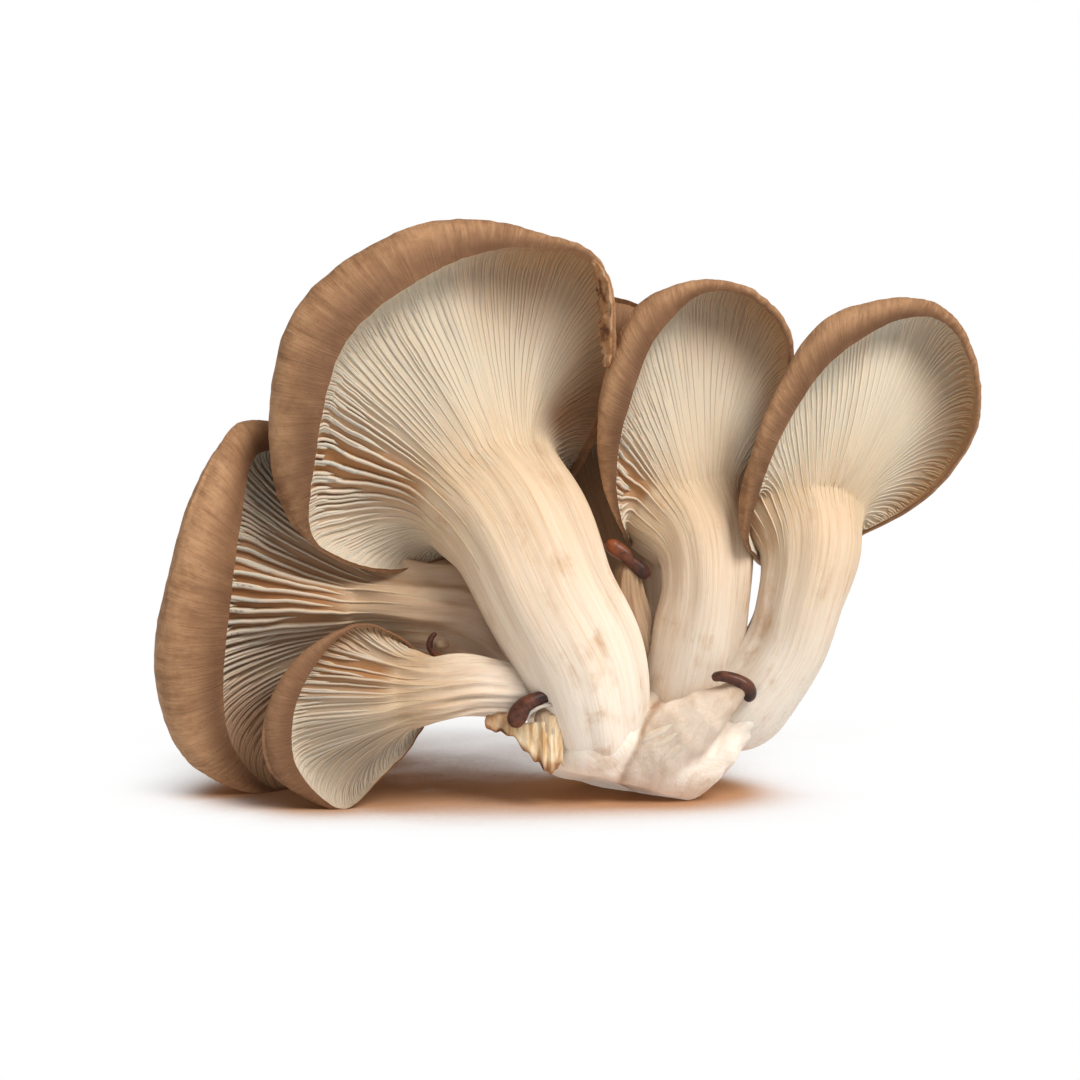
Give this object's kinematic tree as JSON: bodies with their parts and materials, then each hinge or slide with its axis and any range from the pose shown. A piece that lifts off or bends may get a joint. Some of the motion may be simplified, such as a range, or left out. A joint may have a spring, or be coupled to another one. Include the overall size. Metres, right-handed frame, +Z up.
{
  "type": "oyster mushroom cluster",
  "caption": "Cluster of oyster mushrooms on one fleshy base, lying as picked with its gills forward, with small buds and a torn strip at the foot.",
  "frame": {"origin": "bottom centre of the whole cluster's box, on the surface that it rests on", "axes": "+X along the row of caps, from the left cap to the right one, +Y from the gills to the brown cap tops, +Z up"},
  "size_m": [0.163, 0.0694, 0.1148],
  "materials": {
    "mushroom_flesh": "matt cream flesh and gills with faint tan fibres, brown matt skin on the cap",
    "cap_skin": "matt to satin brown skin with fine fibres running to the edge",
    "gills": "matt, thin and slightly see-through cream blades",
    "bud_skin": "satin dark red-brown skin",
    "base_flesh": "matt off-white flesh, torn and fibrous at the edges",
    "dried_flesh": "dry, ragged tan flesh with brown edges"
  },
  "bodies": {
    "root": {"large_mushroom": "mushroom_flesh", "middle_mushroom": "mushroom_flesh", "right_mushroom": "mushroom_flesh", "left_mushroom": "mushroom_flesh", "front_mushroom": "mushroom_flesh", "back_mushroom": "mushroom_flesh", "centre_bud": "bud_skin", "right_bud": "bud_skin", "front_bud": "bud_skin", "left_bud": "bud_skin", "torn_strip": "dried_flesh", "base": "base_flesh"}
  },
  "joints": []
}
